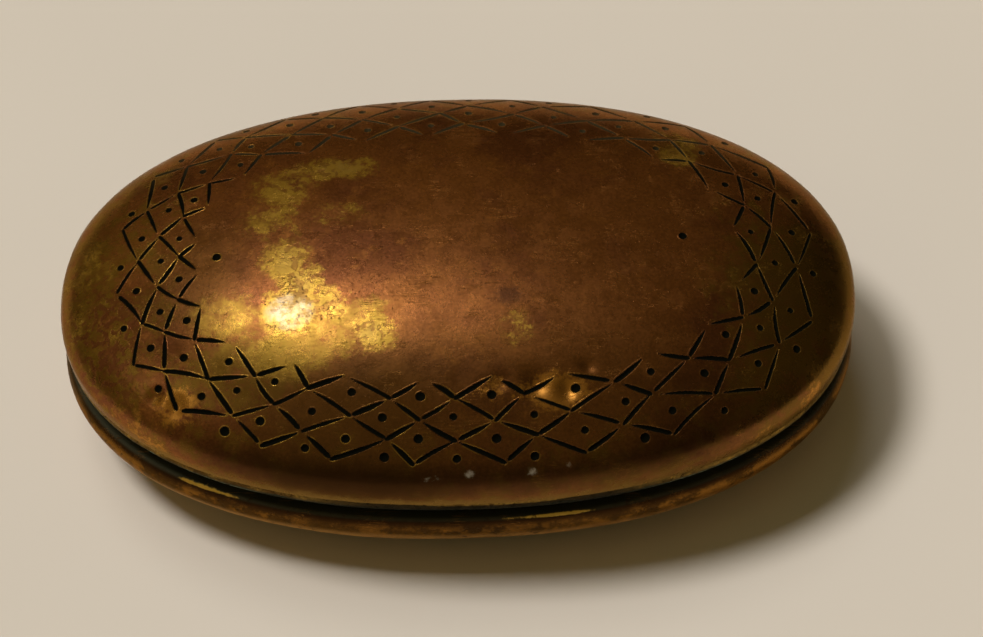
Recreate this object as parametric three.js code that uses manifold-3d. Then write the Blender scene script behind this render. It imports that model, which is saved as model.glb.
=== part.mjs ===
// Oval snuff box with a high domed lid, hinged along the back of its long side.
// Millimetres, +Z up, +X along the long side, +Y towards the hinge.
// The origin is the centre of the flat face that the box rests on.
import * as THREE from 'three';
import { mergeVertices } from 'three/addons/utils/BufferGeometryUtils.js';
import Module from 'manifold-3d';

// Plan of the box
const boxLength = 86;
const boxWidth = 52.8;
const ovalExponent = 2.22;

// Lid, from its lower edge to its crown
const lidCrownRise = 9.4;
const lidEdgeDrop = 2.9;
const lidEdgeInset = 0.4;
const lidWall = 0.8;
const bandHeight = 1.2;
const bandProud = 0.1;
const bandWall = 0.85;

// Base
const baseWideHeight = 8;
const baseBowlDepth = 9.5;
const baseOverhang = 0.1;
const baseShoulderRise = 1.8;
const baseShoulderInset = 0.8;
const baseWall = 0.8;
const floorThickness = 1;

// Seam between lid and base
const seamGap = 2.1;
const closedClearance = 0.3;
const wireWidth = 0.75;
const wireHeight = 0.8;
const bezelWall = 0.6;
const bezelBelowBaseEdge = 2.2;
const bezelAboveLidEdge = 2.5;
const solderGap = 0.3;

// Hinge
const knuckleRadius = 1.2;
const knuckleLength = 3.8;
const knuckleGap = 0.3;
const knuckleCount = 5;
const hingeStandOff = 1.3;
const pinRadius = 0.5;
const pinClearance = 0.05;
const pinHeadRadius = 0.9;
const pinHeadThickness = 0.5;
const lidLeafHeight = 1.1;
const lidLeafThickness = 0.4;
const baseLeafHeight = 2.2;
const baseLeafThickness = 0.5;

// Fineness of the curved pieces
const ovalSegments = 80;
const domeSteps = 11;
const rollSteps = 3;
const bowlSteps = 8;
const shoulderSteps = 5;
const roundSegments = 24;

// Places that follow from the sizes above
const halfLength = boxLength / 2;
const halfWidth = boxWidth / 2;
const baseEdgeZ = baseWideHeight + baseShoulderRise;
const lidEdgeZ = baseEdgeZ + seamGap;
const lidWideZ = lidEdgeZ + lidEdgeDrop;
const shellEdgeZ = lidEdgeZ + bandHeight;
const bezelInset = baseShoulderInset + baseWall + solderGap;
const wireInset = bezelInset - solderGap - wireWidth;
const hingeY = halfWidth - lidEdgeInset + hingeStandOff;
const hingeZ = lidEdgeZ;
const knucklePitch = knuckleLength + knuckleGap;
const hingeLength = knuckleCount * knucklePitch - knuckleGap;

const wasm = await Module();
wasm.setup();

const finishes = {
  lid: { color: 0x663d21, roughness: 0.38, metalness: 1 },
  band: { color: 0x8a6a3a, roughness: 0.5, metalness: 1 },
  base: { color: 0x75492a, roughness: 0.42, metalness: 1 },
  bezel: { color: 0x3c3e32, roughness: 0.65, metalness: 0.8 },
  hinge: { color: 0x7a5a32, roughness: 0.45, metalness: 1 },
};

function signedPower(value, power) {
  return Math.sign(value) * Math.abs(value) ** power;
}

// A ring of the plan drawn in by inset, at the height z.
function insetRing(inset, z) {
  return { long: halfLength - inset, wide: halfWidth - inset, z };
}

// A ring of the plan drawn in by inset and then shrunk by share towards the centre.
function shrunkRing(inset, share, z) {
  return { long: (halfLength - inset) * share, wide: (halfWidth - inset) * share, z };
}

// A turned profile whose rings are stretched to the oval plan. Its first and last rings are
// points on the axis, or are the same ring.
function ovalSolid(rings) {
  const profile = rings.map((ring) => new THREE.Vector2(ring.long, ring.z));
  const geometry = new THREE.LatheGeometry(profile, ovalSegments);
  const position = geometry.getAttribute('position');
  for (let turn = 0; turn <= ovalSegments; turn++) {
    const angle = ((turn % ovalSegments) / ovalSegments) * 2 * Math.PI;
    const along = signedPower(Math.cos(angle), 2 / ovalExponent);
    const across = signedPower(Math.sin(angle), 2 / ovalExponent);
    rings.forEach((ring, row) => {
      position.setXYZ(turn * rings.length + row, ring.long * along, ring.wide * across, ring.z);
    });
  }
  return geometry;
}

// A ring of square section between two insets and two heights.
function ovalHoop(outerInset, innerInset, lowZ, highZ) {
  const low = insetRing(outerInset, lowZ);
  return ovalSolid([
    low,
    insetRing(outerInset, highZ),
    insetRing(innerInset, highZ),
    insetRing(innerInset, lowZ),
    low,
  ]);
}

function toSolid(geometry) {
  const bare = geometry.clone();
  bare.deleteAttribute('normal');
  bare.deleteAttribute('uv');
  const merged = mergeVertices(bare, 1e-5);
  const corners = merged.getIndex().array;
  const kept = [];
  for (let i = 0; i < corners.length; i += 3) {
    const [a, b, c] = [corners[i], corners[i + 1], corners[i + 2]];
    if (a !== b && b !== c && c !== a) kept.push(a, b, c);
  }
  return new wasm.Manifold(new wasm.Mesh({
    numProp: 3,
    vertProperties: new Float32Array(merged.getAttribute('position').array),
    triVerts: new Uint32Array(kept),
  }));
}

function toGeometry(solid) {
  const mesh = solid.getMesh();
  const geometry = new THREE.BufferGeometry();
  geometry.setAttribute('position', new THREE.BufferAttribute(mesh.vertProperties, 3));
  geometry.setIndex(new THREE.BufferAttribute(mesh.triVerts, 1));
  geometry.computeVertexNormals();
  return geometry;
}

function namedMesh(name, finish, geometry) {
  const mesh = new THREE.Mesh(geometry, new THREE.MeshStandardMaterial(finish));
  mesh.name = name;
  return mesh;
}

// The room that the knuckles need in the edges of the lid and the base.
function knuckleNotch() {
  const reach = knuckleRadius + solderGap;
  const room = new THREE.BoxGeometry(hingeLength + 2 * solderGap, 2 * reach, 2 * reach);
  room.translate(0, hingeY, hingeZ);
  return room;
}

function notched(geometry) {
  return toGeometry(toSolid(geometry).subtract(toSolid(knuckleNotch())));
}

function lidShell() {
  const rolled = lidWideZ - shellEdgeZ;
  const rings = [];
  for (let i = 0; i <= domeSteps; i++) {
    const lean = (i / domeSteps) * (Math.PI / 2);
    rings.push(shrunkRing(0, Math.sin(lean), lidWideZ + lidCrownRise * Math.cos(lean)));
  }
  for (let i = 1; i <= rollSteps; i++) {
    const drop = (rolled * i) / rollSteps;
    rings.push(insetRing(lidEdgeInset * (drop / lidEdgeDrop) ** 2, lidWideZ - drop));
  }
  for (let i = rollSteps; i >= 1; i--) {
    const drop = (rolled * i) / rollSteps;
    const inset = lidWall + lidEdgeInset * (drop / lidEdgeDrop) ** 2;
    rings.push(insetRing(inset, lidWideZ - drop));
  }
  for (let i = domeSteps; i >= 0; i--) {
    const lean = (i / domeSteps) * (Math.PI / 2);
    const rise = (lidCrownRise - lidWall) * Math.cos(lean);
    rings.push(shrunkRing(lidWall, Math.sin(lean), lidWideZ + rise));
  }
  rings.reverse();
  return notched(ovalSolid(rings));
}

function lidEdgeBand() {
  const outer = lidEdgeInset - bandProud;
  return notched(ovalHoop(outer, outer + bandWall, lidEdgeZ, shellEdgeZ));
}

// The bowl's height under its widest ring, for a bowl of this depth and lean from level.
function bowlRing(inset, depth, lean) {
  return shrunkRing(inset - baseOverhang, Math.cos(lean), baseWideHeight - depth * Math.sin(lean));
}

function shoulderRing(wall, turn) {
  const span = baseOverhang + baseShoulderInset;
  const inset = wall - baseOverhang + span * (1 - Math.cos(turn));
  return insetRing(inset, baseWideHeight + baseShoulderRise * Math.sin(turn));
}

function baseShell() {
  const innerDepth = baseBowlDepth - baseWall;
  const outerLean = Math.asin(baseWideHeight / baseBowlDepth);
  const innerLean = Math.asin((baseWideHeight - floorThickness) / innerDepth);
  const rings = [{ long: 0, wide: 0, z: 0 }];
  for (let i = bowlSteps; i >= 1; i--) {
    rings.push(bowlRing(0, baseBowlDepth, (outerLean * i) / bowlSteps));
  }
  for (let i = 0; i <= shoulderSteps; i++) {
    rings.push(shoulderRing(0, ((Math.PI / 2) * i) / shoulderSteps));
  }
  for (let i = shoulderSteps; i >= 0; i--) {
    rings.push(shoulderRing(baseWall, ((Math.PI / 2) * i) / shoulderSteps));
  }
  for (let i = 1; i <= bowlSteps; i++) {
    rings.push(bowlRing(baseWall, innerDepth, (innerLean * i) / bowlSteps));
  }
  rings.push({ long: 0, wide: 0, z: floorThickness });
  return notched(ovalSolid(rings));
}

function baseBezel() {
  const low = baseEdgeZ - bezelBelowBaseEdge;
  return ovalHoop(bezelInset, bezelInset + bezelWall, low, lidEdgeZ + bezelAboveLidEdge);
}

function stopWire() {
  const high = lidEdgeZ - closedClearance;
  return ovalHoop(wireInset, wireInset + wireWidth, high - wireHeight, high);
}

// A short tube along X with its bore for the pin.
function knuckle(slot) {
  const outline = new THREE.Shape();
  outline.absarc(0, 0, knuckleRadius, 0, 2 * Math.PI, false);
  const bore = new THREE.Path();
  bore.absarc(0, 0, pinRadius + pinClearance, 0, 2 * Math.PI, true);
  outline.holes.push(bore);
  const tube = new THREE.ExtrudeGeometry(outline, {
    depth: knuckleLength,
    bevelEnabled: false,
    curveSegments: roundSegments,
  });
  tube.rotateY(Math.PI / 2);
  tube.translate(slot * knucklePitch - hingeLength / 2, hingeY, hingeZ);
  return tube;
}

function roundBar(radius, length, centreX) {
  const bar = new THREE.CylinderGeometry(radius, radius, length, roundSegments);
  bar.rotateZ(Math.PI / 2);
  bar.translate(centreX, hingeY, hingeZ);
  return bar;
}

function pinHead(side) {
  const centre = side * (hingeLength + pinHeadThickness) / 2;
  return roundBar(pinHeadRadius, pinHeadThickness, centre);
}

// A strip that lies against the back of the lid just above the knuckles.
function lidHingeLeaf() {
  const leaf = new THREE.BoxGeometry(hingeLength, lidLeafThickness, lidLeafHeight);
  leaf.translate(
    0,
    halfWidth + solderGap + lidLeafThickness / 2,
    hingeZ + knuckleRadius + solderGap + lidLeafHeight / 2,
  );
  return leaf;
}

// A strip that lies against the back of the base just below the knuckles.
function baseHingeLeaf() {
  const leaf = new THREE.BoxGeometry(hingeLength, baseLeafThickness, baseLeafHeight);
  leaf.translate(
    0,
    halfWidth + baseOverhang + solderGap + baseLeafThickness / 2,
    hingeZ - knuckleRadius - solderGap - baseLeafHeight / 2,
  );
  return leaf;
}

function buildLid() {
  const lid = new THREE.Group();
  lid.add(
    namedMesh('lid_shell', finishes.lid, lidShell()),
    namedMesh('lid_edge_band', finishes.band, lidEdgeBand()),
    namedMesh('lid_hinge_leaf', finishes.hinge, lidHingeLeaf()),
    namedMesh('lid_knuckle_left', finishes.hinge, knuckle(1)),
    namedMesh('lid_knuckle_right', finishes.hinge, knuckle(3)),
  );
  return lid;
}

function buildBase() {
  const base = new THREE.Group();
  base.add(
    namedMesh('base_shell', finishes.base, baseShell()),
    namedMesh('base_bezel', finishes.bezel, baseBezel()),
    namedMesh('stop_wire', finishes.bezel, stopWire()),
    namedMesh('base_hinge_leaf', finishes.hinge, baseHingeLeaf()),
    namedMesh('base_knuckle_left', finishes.hinge, knuckle(0)),
    namedMesh('base_knuckle_centre', finishes.hinge, knuckle(2)),
    namedMesh('base_knuckle_right', finishes.hinge, knuckle(4)),
    namedMesh('hinge_pin', finishes.hinge, roundBar(pinRadius, hingeLength, 0)),
    namedMesh('pin_head_left', finishes.hinge, pinHead(-1)),
    namedMesh('pin_head_right', finishes.hinge, pinHead(1)),
  );
  return base;
}

const snuffBox = new THREE.Group();
snuffBox.add(buildBase(), buildLid());

export default snuffBox;
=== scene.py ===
"""Looks of an oval snuff box: engraved domed lid, rubbed edge band, rounded base and knuckle hinge."""

import math
from contextlib import contextmanager
from functools import reduce
from operator import or_

import bmesh
import bpy
import numpy as np
from mathutils import Matrix, Vector, noise

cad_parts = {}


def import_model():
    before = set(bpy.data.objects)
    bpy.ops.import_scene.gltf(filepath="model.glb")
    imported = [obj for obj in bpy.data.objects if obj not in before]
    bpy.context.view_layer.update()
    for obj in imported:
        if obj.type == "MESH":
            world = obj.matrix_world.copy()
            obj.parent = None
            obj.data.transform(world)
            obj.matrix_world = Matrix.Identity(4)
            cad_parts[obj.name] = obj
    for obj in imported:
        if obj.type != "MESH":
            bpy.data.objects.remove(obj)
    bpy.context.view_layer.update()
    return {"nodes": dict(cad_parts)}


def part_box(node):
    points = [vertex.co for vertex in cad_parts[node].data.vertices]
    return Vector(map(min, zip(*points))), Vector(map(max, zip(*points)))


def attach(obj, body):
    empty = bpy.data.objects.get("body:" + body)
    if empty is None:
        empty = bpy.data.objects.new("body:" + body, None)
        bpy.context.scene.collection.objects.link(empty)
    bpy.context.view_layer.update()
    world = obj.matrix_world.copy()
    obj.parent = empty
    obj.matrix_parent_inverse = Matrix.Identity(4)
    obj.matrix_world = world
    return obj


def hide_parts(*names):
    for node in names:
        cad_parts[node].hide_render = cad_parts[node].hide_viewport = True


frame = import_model()

# Units: shapes are worked out in millimetres and stored in metres
MM = 0.001

# Photo frame and the camera that took it
PHOTO_WIDTH, PHOTO_HEIGHT = 983, 637
BOX_CENTRE_PIXEL = (458.6, 293.8)
CAMERA_DISTANCE = 430.0
CAMERA_ELEVATION = math.radians(53.0)
CAMERA_ROLL = 0.0228
PIXELS_PER_RADIAN = 3967.6
SENSOR_WIDTH = 36.0

# Sizes of the shells, as in the solids
SQUARENESS = 2.22
CROWN_RISE = 9.4
LID_EDGE_INSET = 0.4
LID_EDGE_DROP = 2.9
SHEET = 0.8
BAND_INSET = 0.3
BAND_SHEET = 0.85
BASE_OVERHANG = 0.1
BASE_WIDE_Z = 8.0
BASE_BOWL_DEPTH = 9.5
BASE_SHOULDER_RISE = 1.8
BASE_SHOULDER_INSET = 0.8
BASE_FLOOR = 1.0
WIRE_INSET = 0.85
WIRE_WIDTH = 0.75
COLLAR_INSET = 1.9
COLLAR_SHEET = 0.6
KNUCKLE_BORE = 0.55
HINGE_GAP = 0.3

# How far edges are rounded
BAND_CORNER = 0.16
WIRE_CORNER = 0.3
COLLAR_CORNER = 0.2
LEAF_CORNER = 0.12
KNUCKLE_CORNER = 0.14

# Engraved band: rows of open diamonds round the lid, measured along the sheet from its widest ring
ROWS_FROM_EDGE = (4.0, 6.4, 8.65, 11.0)
TIPS_FROM_EDGE = 13.2
BAND_SHIFT_AT_ENDS = 3.5
BAND_LEAN = 1.1
DIAMONDS_ROUND = 22
PATTERN_PHASE = 0.376
END_STRETCH = 0.178
SIDE_STRETCH = 0.016
SQUEEZE_AT_SIDES = 0.45
STROKE_HALF_WIDTH = 0.245
STROKE_TIP_HALF_WIDTH = 0.03
STROKE_BOW = 0.02
STROKE_REACH = (0.82, 0.97)
FREE_STROKE_REACH = (0.74, 0.98)
APEX_GAP = (0.05, 0.14)
APEX_SLIP, DOT_SLIP = 0.07, 0.06
DOT_RADIUS = 0.45
OUTER_DOT_GROWTH = 1.08
OUTER_DOT_RISE, DOT_RISE = 0.45, 0.1
BOLD_AT_ENDS = 0.82
CUT_SLOPE = 0.75
CUT_DEPTH = 0.22
LONE_DOTS = ((-25.7, 0.1), (24.2, 1.4))
LONE_DOT_GROUND, LONE_DOT_MARGIN = 2.0, 0.2
LONE_DOT_CUTS = 7
NO_CUT = 1.0
# How far round the lid a stroke and a dot are looked for, as a share of the whole way
STROKE_SPAN, DOT_SPAN = 0.06, 0.03
DEEPEST_INSET, INSET_STEPS = 20.0, 260
SEED = 7

# Unevenness of hand-raised sheet: size and depth of the waves
LID_WAVES = ((13.0, 0.12), (5.0, 0.035))
BASE_WAVES = (9.0, 0.16)
# Height over which the waves fade: above the lid's widest ring, above the foot and below the seam
LID_WAVES_FADE = 2.5
FOOT_WAVES_FADE, SEAM_WAVES_FADE = 1.5, 0.8

# Small knocks in the lid: place in plan, reach and depth
LID_DENTS = (
    (11.2, -17.7, 1.0, 0.36),
    (8.0, -17.1, 1.3, 0.34),
    (4.2, -17.0, 0.9, 0.14),
    (13.4, -15.2, 0.8, 0.14),
    (-32.2, -15.4, 0.8, 0.32),
    (-29.8, -16.8, 0.9, 0.36),
    (-16.2, -8.2, 0.8, 0.05),
)

# Chips in the front of the edge band: place along it, reach and depth
BAND_CHIPS = ((-19.5, 0.9, 0.25), (10.2, 1.6, 0.35), (19.6, 0.8, 0.22), (-33.0, 0.7, 0.2))
BAND_WEAR = 0.05
BAND_LOWER_EDGE = 0.3

# Fineness of the meshes
FINE_COLUMNS = 1320
COLUMN_MERGE = 4
BAND_ROW_STEP = 0.15
BAND_FROM, BAND_TO = 2.4, 14.0
PLAIN_COLUMNS = 440
MARGIN_ROWS, SKIRT_ROWS, CROWN_ROWS, INSIDE_ROWS = 7, 6, 40, 26
BOWL_ROWS, INNER_BOWL_ROWS, SHOULDER_ROWS, FLOOR_ROWS = 22, 20, 12, 13
TURNED_COLUMNS = 40
TURNED_SHARP_ANGLE = 50
LEAF_STATIONS = 41


def lid_sizes():
    """Half length, half width, crown height and lower edge of the lid, in mm."""
    low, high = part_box("lid_shell")
    return high.x / MM, -low.y / MM, high.z / MM, low.z / MM


HALF_LONG, HALF_WIDE, CROWN_Z, LID_EDGE_Z = lid_sizes()
WIDE_Z = CROWN_Z - CROWN_RISE


# Shape helpers


def signed_power(value, power):
    return np.sign(value) * np.abs(value) ** power


def oval(angles, long, wide):
    """Points of the plan at these angles, as two arrays."""
    x = long * signed_power(np.cos(angles), 2 / SQUARENESS)
    y = wide * signed_power(np.sin(angles), 2 / SQUARENESS)
    return x, y


def even_angles(count):
    """Angles whose points lie at even steps along the widest outline."""
    dense = np.linspace(0, 2 * math.pi, 40001)
    x, y = oval(dense, HALF_LONG, HALF_WIDE)
    along = np.concatenate([[0], np.cumsum(np.hypot(np.diff(x), np.diff(y)))])
    return np.interp(np.arange(count) / count * along[-1], along, dense)


FINE_ANGLES = even_angles(FINE_COLUMNS)
ANGLE_TABLE = np.append(FINE_ANGLES, 2 * math.pi)


def angle_at(share):
    """Angle at this share of the way round the widest outline."""
    return np.interp(share % 1.0, np.arange(FINE_COLUMNS + 1) / FINE_COLUMNS, ANGLE_TABLE)


def oval_ring(angles, long, wide, z):
    x, y = oval(angles, long, wide)
    return np.stack([x, y, np.broadcast_to(z, x.shape)], axis=1)


def inset_ring(angles, inset, z):
    return oval_ring(angles, HALF_LONG - inset, HALF_WIDE - inset, z)


def quads_between(low, high, count):
    """Faces between two closed rows of count vertices that start at these indices."""
    return [(low + i, low + (i + 1) % count, high + (i + 1) % count, high + i) for i in range(count)]


def loft_faces(row_count, column_count, closed=True):
    """Faces over rows that follow each other. In a closed section the last row joins the first."""
    faces = []
    for row in range(row_count if closed else row_count - 1):
        following = (row + 1) % row_count
        faces += quads_between(row * column_count, following * column_count, column_count)
    return faces


def fan(tip, ring_start, count):
    return [(tip, ring_start + i, ring_start + (i + 1) % count) for i in range(count)]


def unit(vectors):
    return vectors / (np.linalg.norm(vectors, axis=1, keepdims=True) + 1e-9)


def waves(points, size, depth):
    """Slow undulation of hand-raised sheet, from 0 to depth, at these points in mm."""
    return np.array([depth * (0.5 + 0.5 * noise.noise(Vector(p) / size)) for p in points])


@contextmanager
def opened(mesh):
    """The mesh open for changes, which are written back at the end."""
    work = bmesh.new()
    work.from_mesh(mesh)
    yield work
    work.to_mesh(mesh)
    work.free()


def make_piece(name, points, faces, sharp_angle=35):
    """A smooth-shaded object from points in mm, with its faces turned out."""
    mesh = bpy.data.meshes.new(name)
    mesh.from_pydata((np.asarray(points) * MM).tolist(), [], faces)
    mesh.validate()
    mesh.polygons.foreach_set("use_smooth", [True] * len(mesh.polygons))
    mesh.set_sharp_from_angle(angle=math.radians(sharp_angle))
    piece = bpy.data.objects.new(name, mesh)
    bpy.context.scene.collection.objects.link(piece)
    with opened(mesh) as work:
        bmesh.ops.recalc_face_normals(work, faces=work.faces)
        if work.calc_volume(signed=True) < 0:
            bmesh.ops.reverse_faces(work, faces=work.faces)
    mesh.update()
    return piece


def wear(piece, material):
    piece.data.materials.clear()
    piece.data.materials.append(material)


def dress(piece, body, node, material):
    """The piece rides on the body, stands for the node and wears the material."""
    wear(piece, material)
    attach(piece, body)
    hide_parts(node)


# Engraving


def dome_height(x, y):
    """Height of the lid's outside above a place in plan."""
    share = (np.abs(x) / HALF_LONG) ** SQUARENESS + (np.abs(y) / HALF_WIDE) ** SQUARENESS
    share = np.clip(share, 0, 1) ** (1 / SQUARENESS)
    return WIDE_Z + CROWN_RISE * np.sqrt(1 - share**2)


def dome_points(angles, insets):
    """Points of the lid's outside. The inset lines run almost straight in from the long sides."""
    x, y = oval(angles, 1.0, 1.0)
    squeeze = SQUEEZE_AT_SIDES + (1 - SQUEEZE_AT_SIDES) * x**2
    x, y = x * (HALF_LONG - insets * squeeze), y * (HALF_WIDE - insets)
    return np.stack([x, y, dome_height(x, y)], axis=-1)


class InsetLines:
    """Turns distances along the sheet, from the widest ring, into insets for given angles."""

    def __init__(self, angles):
        self.insets = DEEPEST_INSET * np.linspace(0, 1, INSET_STEPS) ** 2
        points = dome_points(np.asarray(angles)[:, None], self.insets[None, :])
        steps = np.linalg.norm(np.diff(points, axis=1), axis=2)
        self.travel = np.concatenate([np.zeros((len(steps), 1)), np.cumsum(steps, axis=1)], axis=1)

    def insets_at(self, distances):
        """Insets for distances, an array of one row for each angle."""
        return np.array([np.interp(d, t, self.insets) for d, t in zip(distances, self.travel)])


def on_sheet(share, distance):
    """The point of the lid at a share of the way round and a distance from the widest ring."""
    angle = np.array([angle_at(share)])
    inset = InsetLines(angle).insets_at([[distance]])
    return dome_points(angle[:, None], inset)[0, 0]


def band_distance(from_edge, angles):
    """Distance along the sheet of a row, which lies further in at the ends, the left one most."""
    along = oval(angles, 1.0, 1.0)[0]
    return from_edge + BAND_SHIFT_AT_ENDS * np.abs(along) ** 6 - BAND_LEAN * along * np.abs(along) ** 3


def pattern_share(count):
    """Share of the way round of a place in the pattern. The diamonds are longer at the ends."""
    even = (count + PATTERN_PHASE) / DIAMONDS_ROUND
    ends = END_STRETCH / (4 * math.pi) * math.sin(4 * math.pi * even)
    return even + ends + SIDE_STRETCH * math.sin(2 * math.pi * even)


class CutField:
    """Distance in mm from each vertex of the band to the edge of the nearest cut, negative inside it."""

    def __init__(self, points):
        self.points = points
        self.shares = np.arange(len(points)) / len(points)
        self.field = np.full(points.shape[:2], NO_CUT)

    def near(self, share, reach):
        """Columns of the band within reach of a share."""
        offsets = (self.shares - share + 0.5) % 1.0 - 0.5
        return np.nonzero(np.abs(offsets) < reach)[0]

    def keep_nearest(self, columns, found):
        self.field[columns] = np.minimum(self.field[columns], found)

    def stroke(self, blunt_end, sharp_end, half_width, bow):
        """A graver's cut between two places, each a share and a distance, straight but for a slight bow."""
        columns = self.near(blunt_end[0], STROKE_SPAN)
        points = self.points[columns]
        stations = np.linspace(0, 1, 6)[:, None]
        first_end, last_end = on_sheet(*blunt_end)[:2], on_sheet(*sharp_end)[:2]
        step = last_end - first_end
        across = np.array([-step[1], step[0]])
        flat = first_end + step * stations + across * bow * 4 * stations * (1 - stations)
        line = np.column_stack([flat, dome_height(flat[:, 0], flat[:, 1])])
        for first, second, part in zip(line[:-1], line[1:], stations[:-1, 0]):
            along = second - first
            share = np.clip((points - first) @ along / (along @ along), 0, 1)
            away = np.linalg.norm(points - first - share[..., None] * along, axis=-1)
            done = part + share * stations[1, 0]
            taper = np.clip(6.0 * done + 0.7, 0, 1) * np.clip(2.2 * (1 - done), 0, 1) ** 0.7
            width = STROKE_TIP_HALF_WIDTH + (half_width - STROKE_TIP_HALF_WIDTH) * taper
            self.keep_nearest(columns, away - width)

    def dot(self, share, distance, radius):
        columns = self.near(share, DOT_SPAN)
        away = np.linalg.norm(self.points[columns] - on_sheet(share, distance), axis=-1)
        self.keep_nearest(columns, away - radius)


def marked_place(count, row, rng, slip):
    """A place of the pattern with a little of the hand's unevenness."""
    share = pattern_share(count + rng.normal(0, slip))
    from_edge = row + rng.normal(0, slip * 1.8)
    return share, float(band_distance(from_edge, np.array([angle_at(share)]))[0])


def boldness(share):
    """The cuts are widest along the front and finer at the ends and the back."""
    towards_back = float(oval(angle_at(share), 1.0, 1.0)[1])
    return BOLD_AT_ENDS + (1 - BOLD_AT_ENDS) * max(0.0, -towards_back) ** 1.5


def engrave(field):
    """Four rows of V cuts that make open diamonds, with a punched dot in each and one row outside."""
    rng = np.random.default_rng(SEED)
    rows = (*ROWS_FROM_EDGE, TIPS_FROM_EDGE)
    apexes = []
    for row, from_edge in enumerate(rows):
        counts = [number + 0.5 * (row % 2) for number in range(DIAMONDS_ROUND)]
        apexes.append([marked_place(count, from_edge, rng, APEX_SLIP) for count in counts])
    for row in range(len(ROWS_FROM_EDGE)):
        for number in range(DIAMONDS_ROUND):
            cut_v(field, apexes, row, number, rng)
            punch_dot(field, row, number, rng)


def cut_v(field, apexes, row, number, rng):
    """The two cuts that meet at one apex. Their far ends stop short of the next row's apexes."""
    apex = apexes[row][number]
    free = row == len(ROWS_FROM_EDGE) - 1
    first_side = int(rng.integers(2))
    for side in (0, 1):
        following = (number + side - (1 - row % 2)) % DIAMONDS_ROUND
        target = apexes[row + 1][following]
        reach = rng.uniform(*(FREE_STROKE_REACH if free else STROKE_REACH))
        gap = 0.0 if side == first_side else rng.uniform(*APEX_GAP)
        step = (target[0] - apex[0] + 0.5) % 1.0 - 0.5
        rise = target[1] - apex[1]
        start = (apex[0] + step * gap, apex[1] + rise * gap)
        end = (apex[0] + step * reach, apex[1] + rise * reach)
        half_width = STROKE_HALF_WIDTH * rng.uniform(0.8, 1.15) * boldness(apex[0])
        field.stroke(start, end, half_width, rng.normal(0, STROKE_BOW))


def punch_dot(field, row, number, rng):
    outer = row == 0
    dot_row = ROWS_FROM_EDGE[row] + (OUTER_DOT_RISE if outer else DOT_RISE)
    share, distance = marked_place(number + 0.5 * ((row + 1) % 2), dot_row, rng, DOT_SLIP)
    radius = DOT_RADIUS * rng.uniform(0.86, 1.12) * (OUTER_DOT_GROWTH if outer else 1.0)
    field.dot(share, distance, radius * boldness(share))


# Lid


def inward(points):
    """Unit vectors into the lid's dome at these points in mm."""
    x, y, z = points.T
    rise = np.maximum(z - WIDE_Z, 0)
    return -unit(np.stack([x / HALF_LONG**2, y / HALF_WIDE**2, rise / CROWN_RISE**2], axis=1))


def sheet_waves(points):
    """How far hand-raised sheet falls short of the true dome, which is nothing at its widest ring."""
    fade = np.clip((points[:, 2] - WIDE_Z) / LID_WAVES_FADE, 0, 1)
    return sum(waves(points, size, depth) for size, depth in LID_WAVES) * fade


def dents(points):
    """Depth of the small knocks in the sheet."""
    depth = np.zeros(len(points))
    for x, y, reach, deep in LID_DENTS:
        away = (points[:, 0] - x) ** 2 + (points[:, 1] - y) ** 2
        depth += deep * np.exp(-away / reach**2)
    return depth


def skirt_rings(angles, parts, wall):
    """Rows below the widest ring, at these parts of the way to the lower edge."""
    rings = []
    for part in parts:
        drop = (WIDE_Z - LID_EDGE_Z) * part
        rings.append(inset_ring(angles, wall + LID_EDGE_INSET * (drop / LID_EDGE_DROP) ** 2, WIDE_Z - drop))
    return rings


def lid_outer_rings(angles, band_edge):
    """Plain rows from the engraved band's outer edge down to the sheet's lower edge."""
    lines = InsetLines(angles)
    rings = []
    for part in np.linspace(1, 0, MARGIN_ROWS)[1:]:
        rings.append(dome_points(angles, lines.insets_at(band_edge[:, None] * part)[:, 0]))
    return rings + skirt_rings(angles, np.linspace(0, 1, SKIRT_ROWS)[1:], 0)


def lid_inner_rings(angles):
    """Rows of the lid's inside, from the lower edge up to just short of the crown."""
    rings = skirt_rings(angles, np.linspace(1, 0, SKIRT_ROWS), SHEET)
    for lean in np.linspace(math.pi / 2, 0, INSIDE_ROWS)[1:-1]:
        z = WIDE_Z + (CROWN_RISE - SHEET) * math.cos(lean)
        out = math.sin(lean)
        rings.append(oval_ring(angles, (HALF_LONG - SHEET) * out, (HALF_WIDE - SHEET) * out, z))
    return rings


def crown_rings(band_end):
    """Rows from the engraved band's inner edge to just short of the crown."""
    rings = []
    for part in np.linspace(1, 0, CROWN_ROWS)[1:-1]:
        x, y = band_end[:, 0] * part, band_end[:, 1] * part
        rings.append(np.stack([x, y, dome_height(x, y)], axis=1))
    return rings


def merge_faces(coarse_start, fine_start):
    """Faces between a coarse row and a fine one that has COLUMN_MERGE times its columns."""
    faces = []
    coarse_count = FINE_COLUMNS // COLUMN_MERGE
    for i in range(coarse_count):
        fine = [fine_start + (i * COLUMN_MERGE + k) % FINE_COLUMNS for k in range(COLUMN_MERGE + 1)]
        faces.append((coarse_start + (i + 1) % coarse_count, coarse_start + i, *fine))
    return faces


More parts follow.
